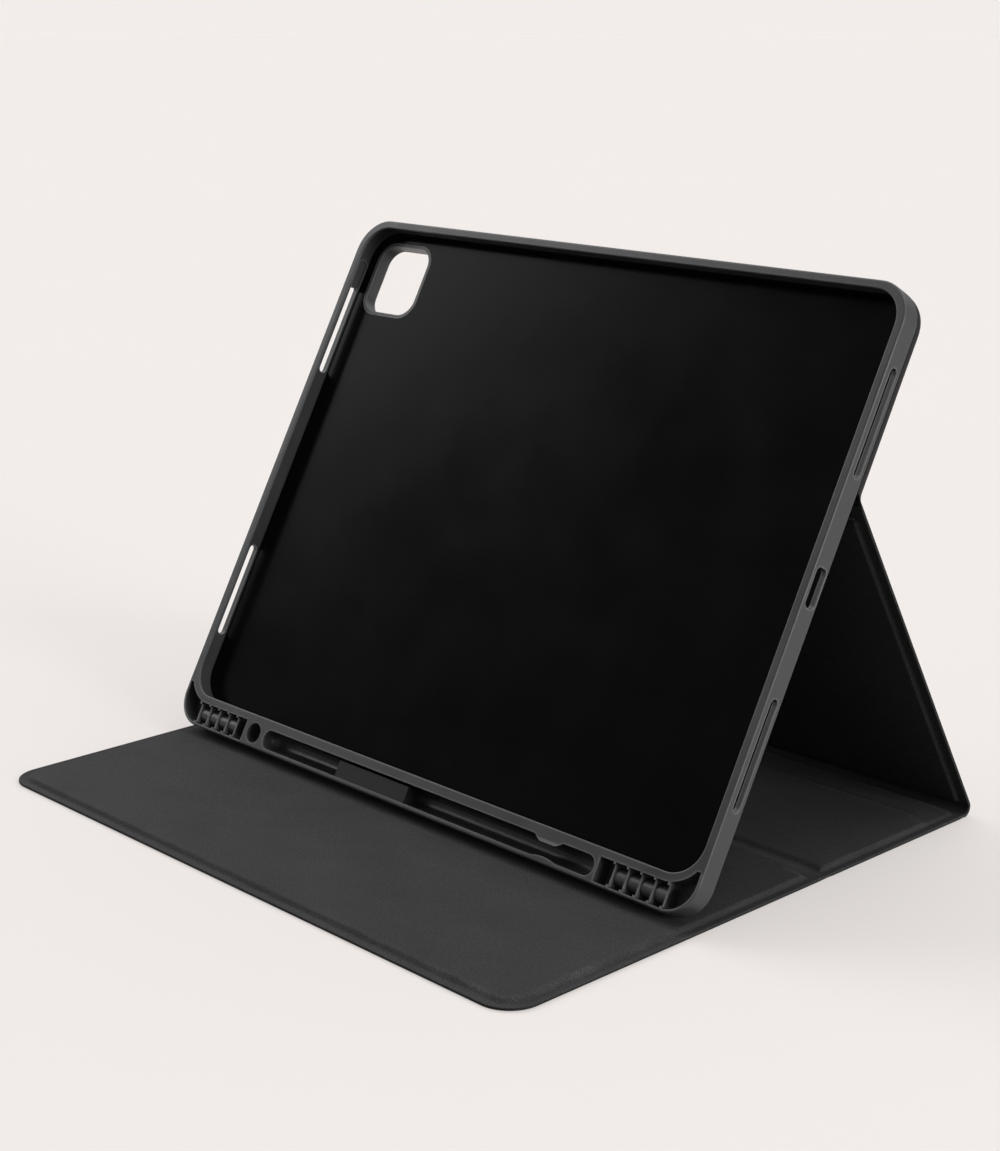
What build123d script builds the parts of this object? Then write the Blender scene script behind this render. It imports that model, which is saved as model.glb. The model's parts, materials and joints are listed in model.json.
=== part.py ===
from build123d import *
import os
from math import atan2, cos, hypot, radians, sin, sqrt

# Folio case for a 12.9-inch tablet, open as a stand. Millimetres, +Z up, +Y to the back.
# The origin is under the middle of the whole case, on the surface that it stands on.

os.makedirs("parts", exist_ok=True)

# ---- driving dimensions -------------------------------------------------------------------------

# the tablet that the tray holds
tablet_w = 280.6
tablet_h = 214.9
tablet_t = 6.4
tablet_corner_r = 13.5

# shell
wall = 2.15                 # side walls
top_wall = 2.1
bar_h = 12.2                # from the shell's lower edge up to the tray
lip_overlap = 1.1           # how far the lip reaches over the tablet
lip_t = 1.0
lip_edge_r = 0.4
tray_lining_t = 0.3
lining_inset = 0.4          # from the tray's walls to the lining's edge
plate_t = 1.1
top_corner_r = 14.5
bottom_corner_r = 12.5
front_edge_r = 0.8
back_edge_r = 0.6

# stylus bar, measured on the shell's front face from its middle and its lower edge
bar_centre_v = 5.65
channel_w = 7.7
channel_left, channel_right = -86.1, 97.5
channel_straight = 3.4      # depth of the channel's straight walls
neck_u = 74.0
neck_upper_r, neck_upper_bulge = 10.2, 2.7
neck_lower_r, neck_lower_bulge = 20.4, 0.9
hole_u, hole_v, hole_d, hole_depth = -92.7, 5.9, 8.0, 6.5
hole_chamfer = 0.25
pad_left, pad_right = -40.0, 0.0
pad_top_v = 8.3
pad_recess = 0.6

# hollows at the ends of the bar
hollow_start = 98.8         # from the middle of the bar
hollow_top = 17.0           # how far up the corner they reach
hollow_depth = 7.2
hollow_wall = 1.15          # outer wall beside them
web_t = 2.0                 # wall between them and the tray
rib_t = 0.7
rib_first, rib_pitch, rib_count = 105.5, 6.17, 5
rib_notch_h, rib_notch_depth = 7.4, 1.3
core_r, core_front = 3.3, 1.7

# openings in the side walls
slot_len, slot_w, slot_offset = 40.3, 3.8, 60.0
port_len, port_w, port_r = 14.6, 5.8, 1.9
side_opening_w = -4.7       # depth of their middle behind the front face

# button covers
button_len, button_w = 12.5, 3.9
button_gap = 0.25
button_proud = 0.5
button_edge_r = 0.35
button_body = 1.6           # how far a cover reaches into the wall
power_v = 205.0
volume_up_u, volume_down_u = -112.5, -98.5

# upper back and camera window
back_panel_t = 4.0
back_skin_t = 0.7
back_inset = 0.2            # from the shell's sides to the skin's edge
back_soft_r = 1.8
skin_margin = 3.0           # skin beyond the board's edge
window = 30.0
window_r = 7.5
window_edge = 8.5           # from the shell's sides to the window
collar_t = 1.5
collar_proud = 0.3
collar_gap = 0.3

# cover panels
cover_w = 284.8
skin_t = 0.55
board_t = 1.2
panel_t = 2.4
rim_t = 1.1
rim_w = 3.5
board_wrap = 1.0            # lining round the board's edges
shoulder = 0.9
cover_corner_r = 12.5
front_len = 150.9
crease_gap = 8.3
rear_len = 64.4
spine_gap = 5.4
spine_len = 12.0
fold_gap = 2.8              # from the spine's board to the rear fold
fold_r = 2.6
fold_clearance = 0.35

# stand
lean = 28.68                # shell's lean from upright, in degrees
foot_gap = 0.25             # between the shell's lower edge and the lining
back_fold_v = 155.5         # height of the fold on the shell's back
back_fold_w = 2.5           # its depth behind the shell's back
support_len = 155.8         # from fold to fold
support_drop = 3.4          # rear fold's depth under the support's outer face
support_slope = 58.75
back_tongue = 8.0           # thin end of the support beside the back fold

# magnets and keeper strips
magnet_l, magnet_w = 12.0, 5.0
stand_magnet_x = (60, 75, 90)
closure_magnet_x = (85, 100, 115)
closure_inset = 12.0
sleep_magnet_x = 125.0
sleep_insets = (60.0, 68.0)
strip_l, strip_w, strip_t = 60.0, 6.0, 0.6
strip_u, strip_v = 75.0, 4.6

# ---- sizes that follow --------------------------------------------------------------------------

shell_w = tablet_w + 2 * wall
shell_h = bar_h + tablet_h + top_wall
shell_t = lip_t + tablet_t + tray_lining_t + plate_t
tray_mid_v = bar_h + tablet_h / 2
channel_r = channel_w / 2

depth = front_len + crease_gap + rear_len + spine_gap + spine_len + fold_gap + fold_r
front_y = -depth / 2
crease_y0 = front_y + front_len
crease_y1 = crease_y0 + crease_gap
spine_y0 = crease_y1 + rear_len
spine_y1 = spine_y0 + spine_gap
spine_end = spine_y1 + spine_len
fold_y = spine_end + fold_gap

# the stand seen from the side, as (y, z) points
lean_sin, lean_cos = sin(radians(lean)), cos(radians(lean))
foot_z = panel_t + foot_gap
shell_leg = hypot(back_fold_v, back_fold_w)
shell_leg_angle = radians(90 - lean) - atan2(back_fold_w, back_fold_v)
back_fold_z = foot_z + shell_leg * sin(shell_leg_angle)
support_reach = sqrt(support_len**2 - (back_fold_z - foot_z) ** 2)
back_fold_y = fold_y - support_reach
foot_y = back_fold_y - shell_leg * cos(shell_leg_angle)
shell_origin = (0, foot_y - shell_t * lean_cos, foot_z + shell_t * lean_sin)

# pivots of the four folds
crease_pivot = (0, (crease_y0 + crease_y1) / 2, rim_t / 2)
spine_pivot = (0, (spine_y0 + spine_y1) / 2, rim_t / 2)
rear_pivot = (0, fold_y, foot_z)
back_pivot = (0, back_fold_y, back_fold_z)

# local frames: the shell's front face, and the support's outer face
shell_plane = Plane(shell_origin, x_dir=(1, 0, 0), z_dir=(0, -lean_cos, lean_sin))
slope_sin, slope_cos = sin(radians(support_slope)), cos(radians(support_slope))
support_origin = (0, fold_y + support_drop * slope_sin, foot_z + support_drop * slope_cos)
support_plane = Plane(support_origin, x_dir=(1, 0, 0), z_dir=(0, -slope_sin, -slope_cos))


def on_shell(shape):
    return shell_plane.location * shape


def save(shape, node):
    export_step(shape, f"parts/{node}.step")


# ---- shapes that several parts use --------------------------------------------------------------


def slab(sketch, z0, z1):
    """A flat outline as a plate between two heights."""
    return Pos(0, 0, z0) * extrude(sketch, z1 - z0)


def outline(width, y0, y1, r_low, r_high):
    """A rectangle from y0 to y1 with its own corner radius at each end, 0 for square."""
    face = Pos(0, (y0 + y1) / 2) * Rectangle(width, y1 - y0)
    ends = face.vertices().group_by(Axis.Y)
    if r_low > 0:
        face = fillet(ends[0], r_low)
    if r_high > 0:
        ends = face.vertices().group_by(Axis.Y)
        face = fillet(ends[-1], r_high)
    return face


def tray_outline(grow=0.0):
    """The tablet's outline, grown or shrunk all round."""
    size = RectangleRounded(tablet_w + 2 * grow, tablet_h + 2 * grow, tablet_corner_r + grow)
    return Pos(0, tray_mid_v) * size


def window_outline(grow=0.0):
    u = -shell_w / 2 + window_edge + window / 2
    v = shell_h - window_edge - window / 2
    return Pos(u, v) * RectangleRounded(window + 2 * grow, window + 2 * grow, window_r + grow)


def side_cut(sketch, side, v, w):
    """A cut through a side wall: the sketch's X runs up the wall, and its Y runs forward."""
    plane = Plane((side * shell_w / 2, v, w), x_dir=(0, 1, 0), z_dir=(1, 0, 0))
    return extrude(plane * sketch, 2 * wall, both=True)


# ---- shell --------------------------------------------------------------------------------------


def channel_space():
    """The stylus channel: straight walls over a half-round floor, with a neck near its right end."""
    middle = (channel_left + channel_right) / 2
    length = channel_right - channel_left
    mouth = Pos(middle, bar_centre_v) * SlotOverall(length, channel_w)
    upper_v = bar_centre_v + channel_r - neck_upper_bulge + neck_upper_r
    lower_v = bar_centre_v - channel_r + neck_lower_bulge - neck_lower_r
    mouth -= Pos(neck_u, upper_v) * Circle(neck_upper_r)
    mouth -= Pos(neck_u, lower_v) * Circle(neck_lower_r)
    space = slab(mouth, -channel_straight, 1)
    space += along_bar(channel_r, middle, length - channel_w, -channel_straight)
    for end in (channel_left + channel_r, channel_right - channel_r):
        space += Pos(end, bar_centre_v, -channel_straight) * Sphere(channel_r)
    return space


def along_bar(radius, middle, length, w):
    """A cylinder along the bar."""
    return Pos(middle, bar_centre_v, w) * Rot(0, 90, 0) * Cylinder(radius, length)


def end_hollow(side):
    """The hollow at one end of the bar, less its thin ribs and the round core that joins them."""
    face = outline(shell_w - 2 * hollow_wall, hollow_wall, shell_h, bottom_corner_r - hollow_wall, 0)
    reach = shell_w / 2 - hollow_start
    face &= Pos(side * (hollow_start + reach / 2), hollow_top / 2) * Rectangle(reach, hollow_top)
    hollow = slab(face - tray_outline(web_t), -hollow_depth, 1)
    notch = Pos(0, bar_centre_v) * Box(shell_w, rib_notch_h, 2 * rib_notch_depth)
    for i in range(rib_count):
        rib_u = side * (rib_first + i * rib_pitch)
        hollow -= slab(Pos(rib_u, bar_centre_v) * Rectangle(rib_t, bar_h), -hollow_depth, 0) - notch
    core_len = (rib_count - 1) * rib_pitch
    core_w = -core_front - core_r
    return hollow - along_bar(core_r, side * (rib_first + core_len / 2), core_len, core_w)


def rims(block):
    """The edges round the openings in a block's front face."""
    front = block.faces().sort_by(Axis.Z)[-1]
    return [edge for wire in front.inner_wires() for edge in wire.edges()]


def shell_block():
    face = outline(shell_w, 0, shell_h, bottom_corner_r, top_corner_r)
    block = slab(face, -shell_t, 0)
    faces = block.faces().sort_by(Axis.Z)
    block = fillet(faces[-1].edges(), front_edge_r)
    return fillet(block.faces().sort_by(Axis.Z)[0].edges(), back_edge_r)


def button_window(grow):
    return RectangleRounded(button_len + 2 * grow, button_w + 2 * grow, button_w / 2 + grow - 0.05)


def top_cut(sketch, u):
    """A cut through the top wall: the sketch's X runs along the wall."""
    plane = Plane((u, shell_h, side_opening_w), x_dir=(1, 0, 0), z_dir=(0, 1, 0))
    return extrude(plane * sketch, 2 * top_wall, both=True)


def strip_space():
    """The two keeper strips, flush with the bar's back face."""
    shapes = []
    for side in (-1, 1):
        centre = Pos(side * strip_u, strip_v, -shell_t + strip_t / 2)
        shapes.append(centre * Box(strip_l, strip_w, strip_t))
    return shapes


def bumper_frame():
    frame = shell_block()
    frame -= Pos(hole_u, hole_v, -hole_depth / 2 + 0.5) * Cylinder(hole_d / 2, hole_depth + 1)
    frame = chamfer(rims(frame), hole_chamfer)
    frame -= channel_space()
    frame -= slab(tray_outline(), -shell_t - 1, -lip_t)
    frame -= slab(tray_outline(-lip_overlap), -lip_t - 1, 1)
    opening = [edge for edge in rims(frame) if edge.center().Y > bar_h]
    frame = fillet(opening, lip_edge_r)
    for side in (-1, 1):
        frame -= end_hollow(side)
        for end in (-1, 1):
            slot = SlotOverall(slot_len, slot_w)
            frame -= side_cut(slot, side, tray_mid_v + end * slot_offset, side_opening_w)
    port = RectangleRounded(port_len, port_w, port_r)
    frame -= side_cut(port, 1, tray_mid_v, side_opening_w)
    frame -= side_cut(button_window(button_gap), -1, power_v, side_opening_w)
    for u in (volume_up_u, volume_down_u):
        frame -= top_cut(button_window(button_gap), u)
    for strip in strip_space():
        frame -= strip
    return frame


def back_plate():
    plate = slab(tray_outline(), -shell_t, -shell_t + plate_t)
    return plate - slab(window_outline(collar_t), -shell_t - 1, 0)


def tray_lining():
    sheet = slab(tray_outline(-lining_inset), -shell_t + plate_t, -lip_t - tablet_t)
    return sheet - slab(window_outline(collar_t + collar_gap), -shell_t, 0)


def back_cover_outline(inset, low):
    return outline(shell_w - 2 * inset, low, shell_h - inset, 0, top_corner_r - inset)


def back_board():
    low = back_fold_v + fold_r + skin_margin
    board = slab(back_cover_outline(skin_margin, low), -shell_t - back_panel_t + back_skin_t, -shell_t)
    return board - slab(window_outline(collar_t), -shell_t - 5, 0)


def back_skin():
    low = back_fold_v + fold_r
    skin = slab(back_cover_outline(back_inset, low), -shell_t - back_panel_t, -shell_t)
    outer = skin.faces().sort_by(Axis.Z)[0]
    soft_edges = outer.edges().sort_by(Axis.Y)[1:]
    skin = fillet(soft_edges, back_soft_r)
    skin -= back_board()
    return skin - slab(window_outline(collar_t), -shell_t - 5, 0)


def camera_collar():
    low = -shell_t - back_panel_t - collar_proud
    ring = slab(window_outline(collar_t) - window_outline(), low, -shell_t + plate_t + tray_lining_t)
    return ring


def stylus_pad():
    """The part of the channel that the pad fills: flat in front, with a gap above it."""
    middle = (pad_left + pad_right) / 2
    height = pad_top_v
    blank = Pos(middle, pad_top_v - height / 2, -5 - pad_recess) * Box(pad_right - pad_left, height, 10)
    return channel_space() & blank


def back_fold_strip():
    """The soft fold between the upper back and the support."""
    low, high = back_fold_v - 0.35 * fold_r, back_fold_v + fold_r
    face = Pos(0, (low + high) / 2) * Rectangle(cover_w - 2, high - low)
    return slab(face, -shell_t - back_panel_t, -shell_t - back_panel_t + rim_t)


def button_cover():
    """A button cover in its own frame: Z points out of the wall, and 0 is the wall's face."""
    cover = slab(button_window(0), -button_body, button_proud)
    return fillet(cover.faces().sort_by(Axis.Z)[-1].edges(), button_edge_r)


def side_button():
    plane = Plane((-shell_w / 2, power_v, side_opening_w), x_dir=(0, 1, 0), z_dir=(-1, 0, 0))
    return plane.location * button_cover()


def top_button(u):
    plane = Plane((u, shell_h, side_opening_w), x_dir=(1, 0, 0), z_dir=(0, 1, 0))
    return plane.location * button_cover()


# ---- cover panels -------------------------------------------------------------------------------


def magnet_blocks(places):
    """Bar magnets as thick as the board, at (x, y) places."""
    return [Pos(x, y, skin_t + board_t / 2) * Box(magnet_l, magnet_w, board_t) for x, y in places]


def panel(y0, y1, corner_r=0.0, front_rim=0.0, tongue=0.0, magnets=()):
    """Skin, board and lining of a flat panel, with its outer face at z = 0 and its lining up."""
    sheet = outline(cover_w, y0, y1, corner_r, 0)
    skin = slab(sheet, 0, skin_t)
    raised_w = cover_w - 2 * rim_w
    raised_r = max(corner_r - rim_w, 0)
    raised = slab(outline(raised_w, y0 + front_rim, y1 - tongue, raised_r, 0), skin_t, panel_t)
    raised = chamfer(raised.faces().sort_by(Axis.Z)[-1].edges(), shoulder)
    wrap = board_wrap + shoulder / 2
    board_r = max(raised_r - wrap, 0)
    board_face = outline(
        raised_w - 2 * wrap, y0 + front_rim + wrap, y1 - tongue - wrap, board_r, 0
    )
    core = slab(board_face, skin_t, skin_t + board_t)
    lining = slab(sheet, skin_t, rim_t) + raised - core
    board = core
    for magnet in magnet_blocks(magnets):
        board -= magnet
    return {"skin": skin, "board": board, "lining": lining}


def fold_strip(y0, y1):
    return slab(Pos(0, (y0 + y1) / 2) * Rectangle(cover_w - 2, y1 - y0), 0, rim_t)


def rear_fold_strip():
    """The rounded fold at the back, with the flat tongue that joins it to the spine."""
    roll = Pos(0, fold_y, foot_z) * Rot(0, 90, 0) * Cylinder(fold_r, cover_w - 2)
    return roll + fold_strip(spine_end, fold_y)


def mirrored(places):
    return [(side * x, y) for x, y in places for side in (-1, 1)]


stand_magnet_places = mirrored([(x, foot_y) for x in stand_magnet_x])
closure_magnet_places = mirrored([(x, front_y + closure_inset) for x in closure_magnet_x])
sleep_magnet_places = [(sleep_magnet_x, front_y + inset) for inset in sleep_insets]
front_magnets = stand_magnet_places + closure_magnet_places + sleep_magnet_places

# ---- writing the parts --------------------------------------------------------------------------

shell_parts = {
    "bumper_frame": bumper_frame(),
    "back_plate": back_plate(),
    "tray_lining": tray_lining(),
    "back_board": back_board(),
    "back_skin": back_skin(),
    "camera_collar": camera_collar(),
    "stylus_pad": stylus_pad(),
    "keeper_strips": Compound(strip_space()),
    "back_fold_strip": back_fold_strip(),
    "power_button": side_button(),
    "volume_up_button": top_button(volume_up_u),
    "volume_down_button": top_button(volume_down_u),
}
for node, shape in shell_parts.items():
    save(on_shell(shape), node)

support_start = fold_r + fold_clearance
support_end = support_len - fold_r
for layer, shape in panel(support_start, support_end, tongue=back_tongue - fold_r).items():
    save(support_plane.location * shape, f"support_{layer}")

for layer, shape in panel(spine_y1, spine_end).items():
    save(shape, f"spine_{layer}")

for layer, shape in panel(crease_y1, spine_y0).items():
    save(shape, f"cover_rear_{layer}")

front_panel = panel(front_y, crease_y0, cover_corner_r, rim_w, magnets=front_magnets)
for layer, shape in front_panel.items():
    save(shape, f"cover_front_{layer}")

save(Compound(magnet_blocks(stand_magnet_places)), "stand_magnets")
save(Compound(magnet_blocks(closure_magnet_places)), "closure_magnets")
save(Compound(magnet_blocks(sleep_magnet_places)), "sleep_magnets")

save(fold_strip(crease_y0, crease_y1 - fold_clearance), "crease_fold_strip")
save(fold_strip(spine_y0, spine_y1 - fold_clearance), "spine_fold_strip")
save(rear_fold_strip(), "rear_fold_strip")

for name, point in (
    ("crease", crease_pivot),
    ("spine", spine_pivot),
    ("rear", rear_pivot),
    ("back", back_pivot),
):
    print(name, "pivot", [round(c, 3) for c in point])
print("depth", round(depth, 2), "shell height", round(shell_h, 2), "shell width", round(shell_w, 2))
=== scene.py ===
import json
from math import atan2, cos, pi, radians, sin, tan

import bpy
import numpy as np
from mathutils import Matrix, Vector


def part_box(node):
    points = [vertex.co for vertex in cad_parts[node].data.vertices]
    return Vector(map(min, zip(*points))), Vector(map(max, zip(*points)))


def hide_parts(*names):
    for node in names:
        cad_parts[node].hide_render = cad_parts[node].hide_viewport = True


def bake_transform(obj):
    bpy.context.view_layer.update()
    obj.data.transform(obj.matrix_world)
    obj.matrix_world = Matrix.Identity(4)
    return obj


# A folio tablet case, open as a stand, in metres. +Z is up and +Y is to the back.

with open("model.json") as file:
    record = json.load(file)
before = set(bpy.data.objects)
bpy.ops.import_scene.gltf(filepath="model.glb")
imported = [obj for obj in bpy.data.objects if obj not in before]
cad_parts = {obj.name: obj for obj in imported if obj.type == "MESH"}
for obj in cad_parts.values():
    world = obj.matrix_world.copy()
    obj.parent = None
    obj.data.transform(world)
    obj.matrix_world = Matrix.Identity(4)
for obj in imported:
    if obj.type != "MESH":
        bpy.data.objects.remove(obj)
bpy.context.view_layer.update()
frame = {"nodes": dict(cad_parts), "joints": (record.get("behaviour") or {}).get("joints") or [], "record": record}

MM = 0.001
HAIR = 0.02 * MM            # kept between two faces, so that they do not flicker

# ---- places on the case -------------------------------------------------------------------------

mounts = {m["name"]: m for m in frame["record"]["mounts"]}
joints = {j["name"]: j for j in frame["joints"]}

front_low, front_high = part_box("cover_front_skin")
rear_low, rear_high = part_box("cover_rear_skin")
spine_low, spine_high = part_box("spine_skin")
cover_half = front_high.x
front_y = front_low.y
spine_end = spine_high.y
fold_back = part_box("rear_fold_strip")[1].y
rear_pivot = Vector(joints["stand_fold"]["pos_m"])

# the shell's own frame: U to the right, V up its front face, N out of its front face
tray_mid_v = 119.65 * MM
tray_depth = 7.4 * MM
shell_h = 229.2 * MM
shell_t = 8.8 * MM
top_inset = 0.2 * MM
back_panel_t = 4.0 * MM
back_fold_v = 155.5 * MM
shell_n = Vector(mounts["tablet_tray"]["axis"])
shell_v = Vector((0, shell_n.z, -shell_n.y))
shell_o = Vector(mounts["tablet_tray"]["pos_m"]) - shell_v * tray_mid_v + shell_n * tray_depth
lean = atan2(shell_n.z, -shell_n.y)


def on_shell(u, v, w):
    return shell_o + Vector((u, 0, 0)) + shell_v * v + shell_n * w


# the stylus channel, as a box a little larger than its hollow: inside it the shell is glossier, and its colour is
# painted darker as shade
channel_middle = on_shell(5.7 * MM, 5.65 * MM, -4.2 * MM)
channel_half = Vector((92.6, 4.2, 3.4)) * MM

# the cover's layers, measured from its outer face
skin_t = 0.5 * MM
rim_t = 1.1 * MM
lining_t = 0.6 * MM
raised_t = 2.6 * MM
edge_lift_t = 0.3 * MM      # how far a sheet's outer edge curls up
skin_dip_t = 0.25 * MM      # how far the skin sinks in between two boards
wrap_r = 1.7 * MM           # the skin's bend round the upper panel's edges
support_slope = radians(58.75)
support_drop = 3.4 * MM     # depth of the rear fold's axis under the support's outer face
front_corner_r = 12.5 * MM
top_corner_r = 14.3 * MM
window_r = 8.6 * MM


# ---- small tools --------------------------------------------------------------------------------


def smooth(x):
    x = np.clip(x, 0, 1)
    return x * x * (3 - 2 * x)


def new_object(name, mesh):
    obj = bpy.data.objects.new(name, mesh)
    bpy.context.scene.collection.objects.link(obj)
    return obj


def spaced(lo, hi, marks, fine, coarse, growth=0.3):
    """Grid lines from lo to hi, close together near the marks and wider between them."""
    values = [lo]
    while values[-1] < hi:
        gap = min(abs(values[-1] - m) for m in marks)
        values.append(values[-1] + min(coarse, fine + growth * gap))
    values = np.array(values)
    return lo + (values - lo) * (hi - lo) / (values[-1] - lo)


# ---- materials ----------------------------------------------------------------------------------


class Surface:
    """A node material built up from a few named steps."""

    def __init__(self, name, colour, roughness):
        self.material = bpy.data.materials.new(name)
        self.material.use_nodes = True
        self.tree = self.material.node_tree
        self.bsdf = self.tree.nodes["Principled BSDF"]
        self.set("Base Color", (*colour, 1))
        self.set("Roughness", roughness)
        self.colour = colour
        self.place = self.node("ShaderNodeTexCoord").outputs["Object"]

    def node(self, kind, **settings):
        made = self.tree.nodes.new(kind)
        for key, value in settings.items():
            setattr(made, key, value)
        return made

    def set(self, socket, value):
        self.bsdf.inputs[socket].default_value = value

    def link(self, source, target):
        self.tree.links.new(source, target)

    def noise(self, per_metre, detail=4.0, stretch=(1, 1, 1)):
        place = self.node("ShaderNodeMapping")
        place.inputs["Scale"].default_value = stretch
        self.link(self.place, place.inputs["Vector"])
        made = self.node("ShaderNodeTexNoise")
        made.inputs["Scale"].default_value = per_metre
        made.inputs["Detail"].default_value = detail
        self.link(place.outputs["Vector"], made.inputs["Vector"])
        return made.outputs["Fac"]

    def cells(self, per_metre):
        made = self.node("ShaderNodeTexVoronoi", feature="SMOOTH_F1")
        made.inputs["Scale"].default_value = per_metre
        self.link(self.place, made.inputs["Vector"])
        return made.outputs["Distance"]

    def spread(self, source, low, high, start=0.3, end=0.7):
        made = self.node("ShaderNodeMapRange")
        self.link(source, made.inputs["Value"])
        for key, value in (("From Min", start), ("From Max", end), ("To Min", low), ("To Max", high)):
            made.inputs[key].default_value = value
        return made.outputs["Result"]

    def times(self, a, b):
        made = self.node("ShaderNodeMath", operation="MULTIPLY")
        self.link(a, made.inputs[0])
        self.link(b, made.inputs[1])
        return made.outputs[0]

    def shades(self, *factors):
        """The base colour, made lighter and darker by the product of some factors."""
        total = factors[0]
        for factor in factors[1:]:
            total = self.times(total, factor)
        made = self.node("ShaderNodeVectorMath", operation="SCALE")
        made.inputs[0].default_value = self.colour
        self.link(total, made.inputs["Scale"])
        self.link(made.outputs["Vector"], self.bsdf.inputs["Base Color"])

    def roughness(self, source):
        self.link(source, self.bsdf.inputs["Roughness"])

    def bumps(self, *layers):
        """Layers of (height source, depth in metres), one over the other."""
        normal = None
        for source, distance in layers:
            made = self.node("ShaderNodeBump")
            made.inputs["Strength"].default_value = 1.0
            made.inputs["Distance"].default_value = distance
            self.link(source, made.inputs["Height"])
            if normal is not None:
                self.link(normal, made.inputs["Normal"])
            normal = made.outputs["Normal"]
        self.link(normal, self.bsdf.inputs["Normal"])

    def attribute(self, name):
        return self.node("ShaderNodeAttribute", attribute_name=name).outputs["Fac"]

    def thinness(self, reach):
        """1 in solid material, and less at an outer edge or over a thin web."""
        made = self.node("ShaderNodeAmbientOcclusion", inside=True, only_local=True, samples=8)
        made.inputs["Distance"].default_value = reach
        return made.outputs["AO"]

    def outside_box(self, centre, half, turn):
        """0 inside a box that is turned about X, and 1 outside it."""
        place = self.node("ShaderNodeMapping", vector_type="TEXTURE")
        place.inputs["Location"].default_value = centre
        place.inputs["Rotation"].default_value = (turn, 0, 0)
        place.inputs["Scale"].default_value = half
        self.link(self.place, place.inputs["Vector"])
        size = self.node("ShaderNodeVectorMath", operation="ABSOLUTE")
        self.link(place.outputs["Vector"], size.inputs[0])
        split = self.node("ShaderNodeSeparateXYZ")
        self.link(size.outputs["Vector"], split.inputs[0])
        total = split.outputs["X"]
        for axis in ("Y", "Z"):
            most = self.node("ShaderNodeMath", operation="MAXIMUM")
            self.link(total, most.inputs[0])
            self.link(split.outputs[axis], most.inputs[1])
            total = most.outputs[0]
        return self.spread(total, 0.0, 1.0, 0.8, 1.0)


def suede(name, colour, sheen):
    """Short-pile microfibre: a soft nap with clouds of brushed and unbrushed pile."""
    s = Surface(name, colour, 0.9)
    pile = s.noise(1500, 3)
    clumps = s.noise(520, 4)
    clouds = s.noise(26, 3, (1, 1.6, 1))
    # lighter where rubbed at the rim, and a painted highlight on the raised ridge beside it
    rub_and_highlight = s.spread(s.attribute("rub_and_highlight"), 1.0, 2.4, 0.0, 1.0)
    nap = s.spread(pile, 0.55, 1.45), s.spread(clumps, 0.84, 1.16), s.spread(clouds, 0.88, 1.12)
    s.shades(*nap, rub_and_highlight)
    s.roughness(s.spread(clumps, 0.78, 0.95))
    s.bumps((s.noise(95, 3), 0.00022), (clumps, 0.0001), (pile, 0.00003))
    s.set("Sheen Weight", sheen)
    s.set("Sheen Roughness", 0.45)
    s.set("Sheen Tint", (0.5, 0.5, 0.52, 1))
    s.set("Specular IOR Level", 0.25)
    return s.material


def tray_felt(name, colour):
    """Very fine black microfibre, pressed smooth, with a faint soft gloss."""
    s = Surface(name, colour, 0.2)
    pile = s.noise(4200, 3)
    clouds = s.noise(34, 3)
    s.shades(s.spread(pile, 0.8, 1.2), s.spread(clouds, 0.9, 1.1))
    s.roughness(s.spread(clouds, 0.17, 0.23))
    s.bumps((pile, 0.000002))
    s.set("Specular IOR Level", 0.06)
    return s.material


def grained(name, colour, roughness):
    """Coated cloth with a fine pebbled grain."""
    s = Surface(name, colour, roughness)
    pebbles = s.cells(1500)
    fine = s.noise(3800, 2)
    clouds = s.noise(30, 3)
    # lighter where rubbed at the rim, and a painted highlight along the band of the lining's raised ridge
    rub_and_highlight = s.spread(s.attribute("rub_and_highlight"), 1.0, 2.6, 0.0, 1.0)
    s.shades(s.spread(pebbles, 1.25, 0.75, 0.1, 0.6), s.spread(clouds, 0.85, 1.15), rub_and_highlight)
    s.roughness(s.spread(fine, roughness - 0.08, roughness + 0.12))
    s.bumps((s.noise(120, 3), 0.00012), (pebbles, 0.0001), (fine, 0.00001))
    s.set("Specular IOR Level", 0.25)
    return s.material


FINE_GRAIN = 0.000004


def moulded(name, colour, roughness, grain=FINE_GRAIN, specular=0.45):
    """Moulded plastic or elastomer with a fine spark-eroded texture."""
    s = Surface(name, colour, roughness)
    grit = s.noise(5200, 2)
    mottle = s.noise(60, 4)
    s.shades(s.spread(grit, 0.92, 1.08), s.spread(mottle, 0.93, 1.07))
    s.roughness(s.spread(mottle, roughness - 0.06, roughness + 0.08))
    s.bumps((s.noise(210, 3), 0.00003), (grit, grain))
    s.set("Specular IOR Level", specular)
    return s.material


def shell_elastomer(name, colour, roughness):
    """The shell's moulding, glossier in the stylus channel, with a painted highlight (a lighter colour) along its
    outer edges and painted shade (a darker colour) in the stylus channel.
    """
    s = Surface(name, colour, roughness)
    grit = s.noise(5200, 2)
    mottle = s.noise(60, 4)
    # painted highlight: the colour is made up to 3.4 times lighter along outer edges and thin webs
    edges = s.spread(s.thinness(0.9 * MM), 3.4, 1.0, 0.5, 0.92)
    # painted shade: inside the stylus channel's box the colour is painted darker, to 0.42 of itself
    outside = s.outside_box(channel_middle, channel_half, pi / 2 - lean)
    texture = s.spread(grit, 0.92, 1.08), s.spread(mottle, 0.93, 1.07)
    s.shades(*texture, edges, s.spread(outside, 0.42, 1.0, 0, 1))
    gloss = s.spread(mottle, roughness - 0.06, roughness + 0.08)
    s.roughness(s.times(gloss, s.spread(outside, 0.6, 1.0, 0, 1)))
    s.bumps((s.noise(210, 3), 0.00006), (grit, FINE_GRAIN))
    s.link(s.spread(outside, 0.2, 0.45, 0, 1), s.bsdf.inputs["Specular IOR Level"])
    return s.material


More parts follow.
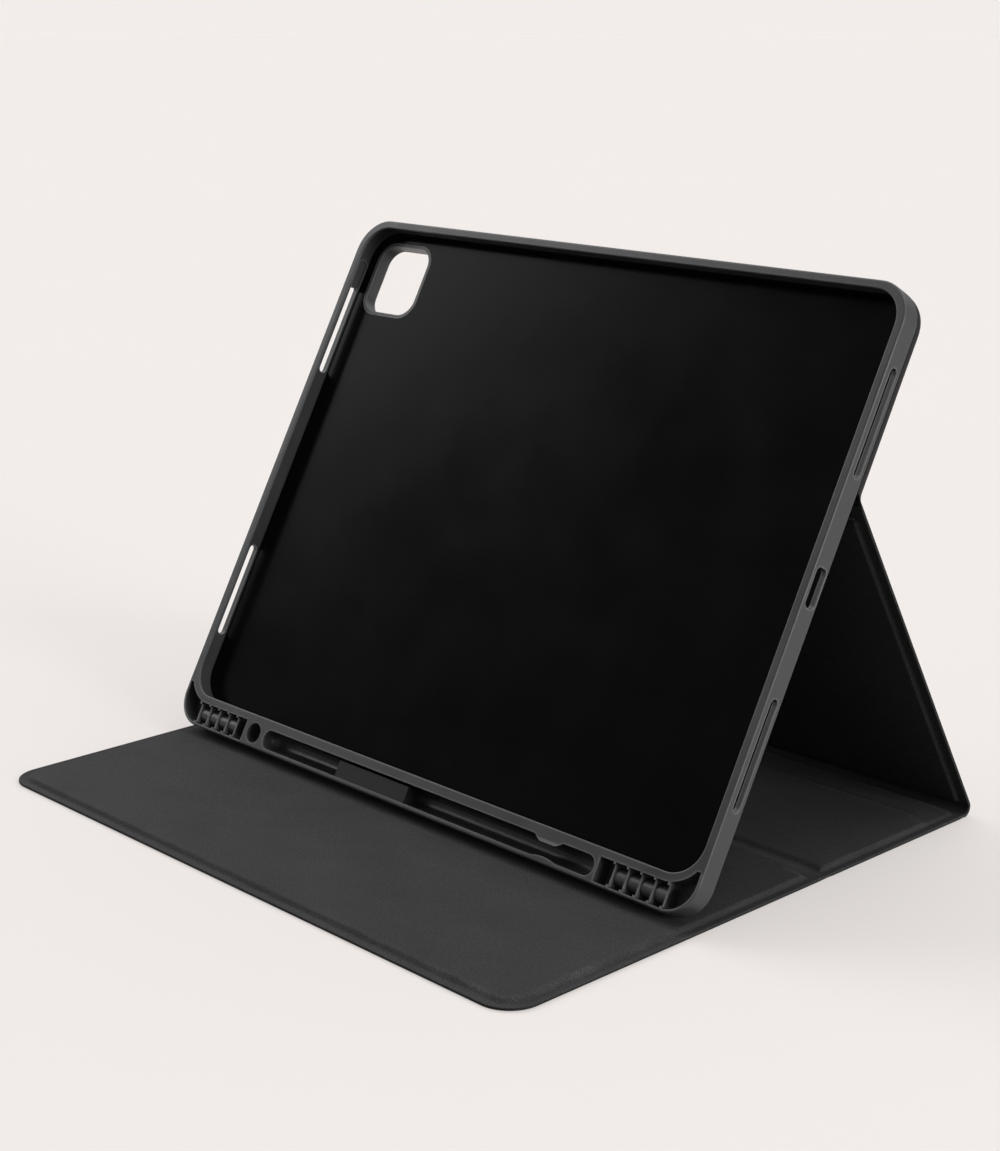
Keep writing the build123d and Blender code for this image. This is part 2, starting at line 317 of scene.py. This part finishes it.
def metal(name, colour, roughness):
    """Plated sheet metal, drawn along X."""
    s = Surface(name, colour, roughness)
    s.set("Metallic", 1.0)
    drawn = s.noise(900, 3, (0.05, 1, 1))
    s.shades(s.spread(drawn, 0.85, 1.15))
    s.roughness(s.spread(drawn, roughness - 0.08, roughness + 0.12))
    s.bumps((drawn, 0.00001))
    return s.material


lining_cloth = suede("lining_suede", (0.027, 0.027, 0.0273), 0.05)
tray_cloth = tray_felt("tray_microfibre", (0.0028, 0.0028, 0.003))
skin_cloth = grained("skin_grain", (0.0085, 0.0085, 0.0088), 0.65)
shell_rubber = shell_elastomer("shell_elastomer", (0.043, 0.044, 0.046), 0.4)
button_rubber = moulded("button_elastomer", (0.052, 0.053, 0.055), 0.42)
pad_rubber = moulded("pad_elastomer", (0.0105, 0.0107, 0.011), 0.55, specular=0.25)
plate_plastic = moulded("plate_plastic", (0.024, 0.024, 0.026), 0.55, 0.000008)
board_fibre = moulded("board_fibre", (0.1, 0.098, 0.095), 0.8)
coated_steel = metal("coated_steel", (0.05, 0.05, 0.05), 0.45)
nickel = metal("nickel", (0.6, 0.58, 0.55), 0.3)

node_materials = {
    "bumper_frame": shell_rubber,
    "camera_collar": shell_rubber,
    "stylus_pad": pad_rubber,
    "back_plate": plate_plastic,
    "keeper_strips": coated_steel,
    "power_button": button_rubber,
    "volume_up_button": button_rubber,
    "volume_down_button": button_rubber,
    "stand_magnets": nickel,
    "closure_magnets": nickel,
    "sleep_magnets": nickel,
}
node_materials |= {node: board_fibre for node in frame["nodes"] if node.endswith("_board")}


def dress(node, material):
    obj = frame["nodes"][node]
    obj.data.materials.clear()
    obj.data.materials.append(material)


for node, material in node_materials.items():
    dress(node, material)


# ---- the cover's path, seen from the side -------------------------------------------------------


class Path:
    """A chain of straights and arcs in the (y, z) plane, for the cover's outer face."""

    def __init__(self, start):
        self.pieces = []
        self.point, self.angle, self.length = np.array(start, float), 0.0, 0.0

    def add(self, length, curve=0.0):
        self.pieces.append((self.length, self.length + length, self.point.copy(), self.angle, curve))
        self.point = self.at(self.length + length)[0]
        self.angle += curve * length
        self.length += length
        return self.length

    def at(self, t):
        """The point and the inward normal at t, for a number or an array of numbers."""
        t = np.asarray(t, float)
        point = np.zeros(t.shape + (2,))
        normal = np.zeros(t.shape + (2,))
        for start, end, origin, angle, curve in self.pieces:
            here = (t >= start - 1e-12) & (t <= end + 1e-9)
            s = t[here] - start
            turned = angle + curve * s
            if curve:
                step = np.stack([np.sin(turned) - sin(angle), cos(angle) - np.cos(turned)], -1) / curve
            else:
                step = np.stack([s * cos(angle), s * sin(angle)], -1)
            point[here] = origin + step
            normal[here] = np.stack([-np.sin(turned), np.cos(turned)], -1)
        return point, normal


slope_sin, slope_cos = sin(support_slope), cos(support_slope)
# where the support's outer face would meet the table, and where it would meet the upper back
face_y = rear_pivot.y + support_drop * slope_sin
face_z = rear_pivot.z + support_drop * slope_cos
table_corner = face_y + face_z * slope_cos / slope_sin
upper_face = on_shell(0, back_fold_v, -shell_t - back_panel_t)
rise = np.array([[-slope_cos, -sin(lean)], [slope_sin, -cos(lean)]])
offset = np.array([upper_face.y - table_corner, upper_face.z])
support_face_len, upper_start = np.linalg.solve(rise, offset)

# the rear fold is an arc whose backmost point lies where the fold strip's does
fold_turn = pi - support_slope
fold_r = (table_corner - fold_back) / (tan(fold_turn / 2) - 1)
fold_tangent = fold_r * tan(fold_turn / 2)
valley_r = 1.5 * MM
valley_turn = fold_turn - (pi / 2 - lean)
valley_tangent = valley_r * tan(valley_turn / 2)

path = Path((front_y, 0))
t_fold = path.add(table_corner - fold_tangent - front_y)
t_support = path.add(fold_r * fold_turn, 1 / fold_r)
t_valley = path.add(support_face_len - fold_tangent - valley_tangent)
t_upper = path.add(valley_r * valley_turn, -1 / valley_r)
t_top = path.add(shell_h - top_inset - back_fold_v - upper_start - valley_tangent)

t_crease = (front_high.y - front_y, rear_low.y - front_y)
t_spine_gap = (rear_high.y - front_y, spine_low.y - front_y)
t_spine_end = spine_end - front_y
t_support_board_end = t_valley - 6.5 * MM
t_lining_end = t_valley - 0.6 * MM


def flat_point(t):
    """The place at t on the cover's outer face, half-way across it."""
    point, _ = path.at(np.array([t]))
    return (0, float(point[0, 0]), float(point[0, 1]))


# ---- the cover's two sheets ---------------------------------------------------------------------

rim_w = 3.2 * MM            # the flat rim round the boards
shoulder = 1.9 * MM         # and the slope beside it
ridge_d = rim_w + shoulder / 2
dip_w = 14 * MM             # how far in from the edge a pressed stretch of the ridge reaches
dip_slope = 8 * MM          # and the part of that over which it fades out
rim_step = 0.09 * MM        # the grid's finest steps, at the rim and at a fold
skin_rim_step = 0.12 * MM
fold_step = 0.35 * MM
side_step = 3.2 * MM        # and its widest, across the cover and along it
long_step = 3.4 * MM
front_strip = 14 * MM       # stretches of the grid that hold the rounded corners
top_strip = 16 * MM
sharp_angle = radians(50)
spine_gap_mid = (t_spine_gap[0] + t_spine_gap[1]) / 2
# where the sheets dip between boards: start, end, share of the full depth, and the slopes beside it
gaps = [
    (t_crease[1] - 0.9 * MM, t_crease[1] - 0.1 * MM, 0.6, 6.5 * MM, 1.4 * MM),
    (spine_gap_mid - 0.2 * MM, spine_gap_mid + 0.2 * MM, 0.12, 1.5 * MM, 1.5 * MM),
    (t_spine_end + 1.2 * MM, t_support - 0.5 * MM, 0.75, 4.5 * MM, 1.4 * MM),
    (t_support_board_end, t_top, 1.0, shoulder, shoulder),
]

# where the raised edge beside the rim is pressed down: start, end, and share of its height
rim_dips = [
    (t_crease[0] - 1.5 * MM, t_crease[1] + 0.8 * MM, 1.0),
    (t_spine_gap[0] - shoulder, t_spine_end, 0.52),
    (t_spine_end - shoulder, t_support + 1.0 * MM, 1.0),
]

half_lines = spaced(0, cover_half, [0, ridge_d], rim_step, side_step)
side_lines = np.concatenate([-(cover_half - half_lines), (cover_half - half_lines)[::-1][1:]])


def round_corners(a, b, radius):
    """Moves grid points near a square corner on to rings round it. a and b are their edge distances."""
    a, b = a.copy(), b.copy()
    near = (a < radius) & (b < radius)
    d = np.minimum(a, b)
    ring = np.maximum(radius - d, 1e-9)
    share = np.where(b <= a, (radius - a) / (2 * ring), 0.5 + (b - d) / (2 * ring))
    turn = share * pi / 2
    a_new = radius - ring * np.sin(turn)
    b_new = radius - ring * np.cos(turn)
    return np.where(near, a_new, a), np.where(near, b_new, b), d


def board_mask(t):
    """1 over a stiff board and less in the soft gaps between boards."""
    mask = np.ones_like(t)
    for start, end, depth, before, after in gaps:
        mask *= 1 - depth * smooth((t - start + before) / before) * smooth((end + after - t) / after)
    return mask


def pressed_flat(t, d):
    """Up to 1 where a fold meets the rim, so that the raised edge of each board ends there."""
    share = np.zeros_like(t)
    for start, end, most in rim_dips:
        share = np.maximum(share, most * smooth((t - start) / shoulder) * smooth((end - t) / shoulder))
    return share * smooth((dip_w - d) / dip_slope)


def waves(x, t):
    """Slight unevenness of cloth that is glued over board."""
    total = 0.5 * np.sin(x * 47 + 1.3 * np.sin(t * 31)) + 0.5 * np.sin(t * 59 + 1.1 * np.sin(x * 23 + 2))
    total += 0.35 * np.sin(x * 131 + t * 90 + 0.7) + 0.25 * np.sin(t * 210 - x * 75)
    return total * 0.045 * MM


def quarter_round(d, radius):
    """From 0 at the edge to 1 at the radius, along a quarter circle."""
    return np.sqrt(1 - (1 - np.clip(d / radius, 0, 1)) ** 2)


def round_off(low, high, d):
    """Thins a sheet's cut edge from both faces, to 0.3 of its thickness at the very edge."""
    middle = (low + high) / 2
    full = 0.3 + 0.7 * quarter_round(d, 0.3 * MM)
    return middle + (low - middle) * full, middle + (high - middle) * full


def edge_lift(d):
    """How far the sheet curls up towards its edge."""
    return edge_lift_t * (1 - smooth(d / rim_w))


def sheet_grid(t_lines, end_d, corner_r):
    """Grid of (x, t, distance from the nearest edge) for one stretch of a sheet."""
    x, t = np.meshgrid(side_lines, t_lines, indexing="ij")
    side_d = cover_half - np.abs(x)
    if end_d is None:
        return x, t, side_d
    b = end_d(t)
    a_new, b_new, d = round_corners(side_d, b, corner_r)
    x_new = np.sign(x) * (cover_half - a_new)
    t_new = t + (b_new - b) * np.sign(end_d(t_lines[-1]) - end_d(t_lines[0]))
    return x_new, t_new, d


def closed_sheet(name, x, t, low, high, rub_and_highlight, material):
    """A closed thin solid between two height fields over the cover's path."""
    count, rows = x.shape
    point, normal = path.at(t)

    def place(height):
        yz = point + normal * height[..., None]
        return np.stack([x, yz[..., 0], yz[..., 1]], -1).reshape(-1, 3)

    verts = np.concatenate([place(high), place(low)])
    index = np.arange(count * rows).reshape(count, rows)
    quads = np.stack([index[:-1, :-1], index[1:, :-1], index[1:, 1:], index[:-1, 1:]], -1).reshape(-1, 4)
    under = quads[:, ::-1] + count * rows
    border = np.concatenate([index[:, 0], index[-1, 1:], index[::-1, -1][1:], index[0, ::-1][1:]])
    a, b = border[:-1], border[1:]
    wall = np.stack([b, a, a + count * rows, b + count * rows], -1)
    mesh = bpy.data.meshes.new(name)
    mesh.from_pydata(verts.tolist(), [], np.concatenate([quads, under, wall]).tolist())
    mesh.shade_smooth()
    mesh.set_sharp_from_angle(angle=sharp_angle)
    # per-point share of rim rubbing and painted ridge highlight
    rub_and_highlight_values = mesh.attributes.new("rub_and_highlight", "FLOAT", "POINT")
    rub_and_highlight_values.data.foreach_set("value", np.tile(rub_and_highlight.ravel(), 2).astype(np.float32))
    mesh.materials.append(material)
    return new_object(name, mesh)


def rim_rub_and_ridge_highlight(x, t, d):
    """Lighter patches along the cover's rim: light rubbing at its very edge, and a painted highlight with some
    rubbing on the raised ridge beside it, strongest at the front right corner.
    """
    near_corner = np.exp(-(((x - cover_half) / 0.05) ** 2) - (t / 0.06) ** 2)
    patches = 0.5 + 0.5 * np.sin(x * 310 + 1.7 * np.sin(t * 95)) * np.sin(t * 240 + x * 60)
    # painted highlight, with some rubbing, on the raised ridge about 4.6 mm in from the edge
    on_ridge = np.exp(-(((d - 4.6 * MM) / (1.1 * MM)) ** 2))
    at_edge = np.exp(-d / (0.5 * MM))
    return np.clip((0.1 + 0.6 * near_corner) * patches * on_ridge + 0.25 * at_edge, 0, 1)


# the sheets are cut into pieces half-way along the panels, so that each piece has one fold
cuts = {
    "rear": (t_crease[1] + t_spine_gap[0]) / 2,
    "spine": (t_spine_gap[1] + t_spine_end) / 2,
    "support": (t_support + t_valley) / 2,
}


def stretch_lines(start, end, marks):
    """Grid lines along the path, close together at those of the marks that lie in the stretch."""
    inside = [m for m in marks if start - 1e-9 <= m <= end + 1e-9] or [start - 0.05]
    return spaced(start, end, inside, fold_step, long_step)


def front_grid(end, rim_marks, step, marks):
    """The grid of the front stretch of a sheet, with its rounded front corners."""
    head = spaced(0, front_strip, rim_marks, step, side_step)
    tail = stretch_lines(front_strip, end, marks)
    return sheet_grid(np.concatenate([head, tail[1:]]), lambda t: t, front_corner_r)


def top_grid(start, marks):
    """The grid of the top stretch of the skin, with its rounded top corners."""
    head = stretch_lines(start, t_top - top_strip, marks)
    tail = t_top - spaced(0, top_strip, [0], rim_step, side_step)[::-1]
    return sheet_grid(np.concatenate([head, tail[1:]]), lambda t: t_top - t, top_corner_r)


fold_marks = [t_fold, (t_fold + t_support) / 2, t_support]
for gap_start, gap_end, _, before, after in gaps[:-1]:
    fold_marks += [gap_start - before / 2, gap_start, gap_end, gap_end + after / 2]
fold_marks += [gaps[-1][0] - shoulder / 2, gaps[-1][0]]


def lining_piece(name, start, end, front=False, last=False):
    """One stretch of the lining: raised over the boards, pressed flat in the rim and the folds."""
    if front:
        x, t, d = front_grid(end, [0, ridge_d], rim_step, fold_marks)
    else:
        x, t, d = sheet_grid(stretch_lines(start, end, fold_marks), None, 0)
    raised = smooth((d - rim_w) / shoulder) * board_mask(t) * (1 - pressed_flat(t, d))
    high = rim_t + (raised_t - rim_t) * raised + waves(x, t) * (0.3 + 0.7 * raised)
    low = np.maximum(skin_t + HAIR, high - lining_t)
    edge_d = np.minimum(d, t_lining_end - t) if last else d
    low, high = round_off(low, high, edge_d)
    lift = edge_lift(edge_d)
    return closed_sheet(name, x, t, low + lift, high + lift, rim_rub_and_ridge_highlight(x, t, d), lining_cloth)


def skin_piece(name, start, end, front=False, top=False):
    """One stretch of the outer skin. Its top end wraps the upper back panel, down to the shell."""
    marks = fold_marks + [t_valley, (t_valley + t_upper) / 2, t_upper]
    if front:
        x, t, d = front_grid(end, [0, rim_w], skin_rim_step, marks)
    elif top:
        x, t, d = top_grid(start, marks)
    else:
        x, t, d = sheet_grid(stretch_lines(start, end, marks), None, 0)
    low = edge_lift(d) + skin_dip_t * (1 - board_mask(t)) * (t < t_fold)
    on_upper = smooth((t - t_valley) / (t_upper - t_valley + 2 * MM))
    wrapped = (back_panel_t - 0.05 * MM) * (1 - quarter_round(d, wrap_r))
    low = low * (1 - on_upper) + wrapped * on_upper
    high = np.minimum(low + skin_t, back_panel_t)
    # a bar under the skin closes the upper panel's lower end, against the shell
    along = (t - t_upper) / MM
    bar = smooth((along - 0.6) / 0.8) * smooth((4.4 - along) / 0.8) * (t > t_upper)
    high = high + (back_panel_t - HAIR - high) * bar
    low = np.maximum(low + waves(x + 3, t) * 0.5 * smooth(d / wrap_r), 0)
    low, high = round_off(low, high, d)
    return closed_sheet(name, x, t, low, high, rim_rub_and_ridge_highlight(x, t, d), skin_cloth)


# the two bodies that a piece bends between, and where the bend starts and ends
crease_bend = ("cover_front", "cover_rear", flat_point(t_crease[0]), flat_point(t_crease[1]))
spine_bend = ("cover_rear", "spine", flat_point(t_spine_gap[0]), flat_point(t_spine_gap[1]))
fold_bend = ("spine", "support", (0, spine_end, 0), (0, spine_end + 4.2 * MM, 7.0 * MM))
valley_bend = ("support", "shell", flat_point(t_valley - 3 * MM), flat_point(t_upper + 3 * MM))

# piece, its bend, the nodes that it stands for, and its flat length
cover_pieces = [
    (
        lining_piece("lining_front", 0.0, cuts["rear"], front=True),
        crease_bend,
        ("cover_front_lining", "crease_fold_strip"),
        cuts["rear"],
    ),
    (
        lining_piece("lining_rear", cuts["rear"], cuts["spine"]),
        spine_bend,
        ("cover_rear_lining", "spine_fold_strip"),
        cuts["spine"] - cuts["rear"],
    ),
    (
        lining_piece("lining_support", cuts["spine"], t_lining_end, last=True),
        fold_bend,
        ("spine_lining", "rear_fold_strip", "support_lining"),
        t_lining_end - cuts["spine"],
    ),
    (
        skin_piece("skin_front", 0.0, cuts["rear"], front=True),
        crease_bend,
        ("cover_front_skin",),
        cuts["rear"],
    ),
    (
        skin_piece("skin_rear", cuts["rear"], cuts["spine"]),
        spine_bend,
        ("cover_rear_skin",),
        cuts["spine"] - cuts["rear"],
    ),
    (
        skin_piece("skin_support", cuts["spine"], cuts["support"]),
        fold_bend,
        ("spine_skin",),
        cuts["support"] - cuts["spine"],
    ),
    (
        skin_piece("skin_upper", cuts["support"], t_top, top=True),
        valley_bend,
        ("support_skin", "back_skin", "back_fold_strip"),
        t_top - cuts["support"],
    ),
]


def rounded_prism(name, centre_u, centre_v, half, radius, w0, w1):
    """A closed prism with a rounded square outline, standing on the shell's front face."""
    ring = []
    steps = 10
    for quarter in range(4):
        corner_u = centre_u + (half - radius) * (1 if quarter in (0, 3) else -1)
        corner_v = centre_v + (half - radius) * (1 if quarter in (0, 1) else -1)
        for i in range(steps + 1):
            angle = (quarter + i / steps) * pi / 2
            ring.append((corner_u + radius * cos(angle), corner_v + radius * sin(angle)))
    verts = [on_shell(u, v, w) for w in (w0, w1) for u, v in ring]
    count = len(ring)
    faces = [list(range(count))[::-1], list(range(count, 2 * count))]
    for i in range(count):
        j = (i + 1) % count
        faces.append([i, j, j + count, i + count])
    mesh = bpy.data.meshes.new(name)
    mesh.from_pydata(verts, [], faces)
    return new_object(name, mesh)


def cut_window(obj):
    """Cuts the camera window out of a sheet, round the collar."""
    low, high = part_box("camera_collar")
    centre = (low + high) / 2 - shell_o
    under_rim = 0.3 * MM
    half = (high.x - low.x) / 2 - under_rim
    tool = rounded_prism("window_tool", centre.x, centre.dot(shell_v), half, window_r, -20 * MM, 0.0)
    cut = obj.modifiers.new("window", "BOOLEAN")
    cut.operation = "DIFFERENCE"
    cut.object = tool
    cut.solver = "EXACT"
    bpy.context.view_layer.objects.active = obj
    with bpy.context.temp_override(object=obj, active_object=obj):
        bpy.ops.object.modifier_apply(modifier=cut.name)
    obj.data.set_sharp_from_angle(angle=sharp_angle)
    bpy.data.objects.remove(tool)


for piece, (body_a, body_b, start, end), stands_for, length in cover_pieces:
    if piece.name == "skin_upper":
        cut_window(piece)
    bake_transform(piece)
    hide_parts(*stands_for)

dress("tray_lining", tray_cloth)

# ---- floor, light and camera --------------------------------------------------------------------

SKY = 0.25
PALE = (0.8925, 0.8485, 0.828)
LIT_SHARE = 0.866           # of PALE, for the part that the lights show


def pale_paper(name, glow):
    """Pale paper that gives back its own share of light, so that shadows on it stay faint."""
    s = Surface(name, [LIT_SHARE * c * (1 - glow) for c in PALE], 0.8)
    s.shades(s.spread(s.noise(3, 2), 0.997, 1.003))
    s.set("Specular IOR Level", 0.0)
    s.set("Emission Color", (*PALE, 1))
    s.set("Emission Strength", glow)
    return s.material


def stage_piece(name, verts, faces, glow):
    """A piece of the stage, which throws no light of its own on the case."""
    mesh = bpy.data.meshes.new(name)
    mesh.from_pydata(verts, [], faces)
    mesh.materials.append(pale_paper(name, glow))
    obj = new_object(name, mesh)
    obj.visible_diffuse = False
    return obj


def make_stage():
    """A floor disc and a far wall round it, of the same pale paper."""
    radius, height, steps = 14.0, 12.0, 64
    turns = [2 * pi * i / steps for i in range(steps)]
    rim = [(radius * cos(a), radius * sin(a), 0) for a in turns]
    stage_piece("floor", rim, [list(range(steps))], 0.5)
    upper = [(x, y, height) for x, y, _ in rim]
    sides = [[i, (i + 1) % steps, (i + 1) % steps + steps, i + steps] for i in range(steps)]
    wall = stage_piece("backdrop", rim + upper, sides, 1.0)
    wall.visible_glossy = wall.visible_shadow = False


def make_world():
    """Pale above, dim below, so that little light comes up from the floor."""
    world = bpy.data.worlds.new("studio")
    world.use_nodes = True
    tree = world.node_tree
    background = tree.nodes["Background"]
    place = tree.nodes.new("ShaderNodeTexCoord")
    split = tree.nodes.new("ShaderNodeSeparateXYZ")
    ramp = tree.nodes.new("ShaderNodeMapRange")
    tree.links.new(place.outputs["Generated"], split.inputs[0])
    tree.links.new(split.outputs["Z"], ramp.inputs["Value"])
    for key, value in (("From Min", -0.05), ("From Max", 0.0), ("To Min", 0.05), ("To Max", SKY)):
        ramp.inputs[key].default_value = value
    background.inputs["Color"].default_value = (1.0, 0.96, 0.93, 1)
    tree.links.new(ramp.outputs["Result"], background.inputs["Strength"])
    bpy.context.scene.world = world


def soft_sun(name, azimuth, elevation, spread, strength):
    """A broad soft light. Azimuth 0 is in front of the case, and 90 is on its right."""
    light = bpy.data.lights.new(name, "SUN")
    light.angle = radians(spread)
    light.energy = strength
    obj = bpy.data.objects.new(name, light)
    bpy.context.scene.collection.objects.link(obj)
    turn, rise = radians(azimuth), radians(elevation)
    towards = Vector((sin(turn) * cos(rise), -cos(turn) * cos(rise), sin(rise)))
    obj.rotation_euler = towards.to_track_quat("Z", "Y").to_euler()


def make_camera():
    """The camera stands in front of the case, on its right, and looks slightly down."""
    azimuth, elevation, roll = radians(45.83), radians(15.21), radians(0.34)
    distance, target = 0.81381, Vector((0.00959, 0.00104, 0.09122))
    back = Vector((sin(azimuth) * cos(elevation), -cos(azimuth) * cos(elevation), sin(elevation)))
    right = Vector((cos(azimuth), sin(azimuth), 0))
    up = back.cross(right)
    rolled_right = right * cos(roll) + up * sin(roll)
    rolled_up = up * cos(roll) - right * sin(roll)
    data = bpy.data.cameras.new("camera")
    data.lens, data.sensor_width = 67.82, 36.0
    data.clip_start, data.clip_end = 0.01, 100
    obj = bpy.data.objects.new("camera", data)
    bpy.context.scene.collection.objects.link(obj)
    turned = Matrix((rolled_right, rolled_up, back)).transposed()
    obj.matrix_world = Matrix.Translation(target + back * distance) @ turned.to_4x4()
    bpy.context.scene.camera = obj


make_stage()
make_world()
soft_sun("left", -82, 31, 46, 1.5)
soft_sun("right", 96, 14, 34, 2.3)
soft_sun("behind", 180, 62, 90, 1.75)
make_camera()
bpy.context.scene.view_settings.view_transform = "Standard"
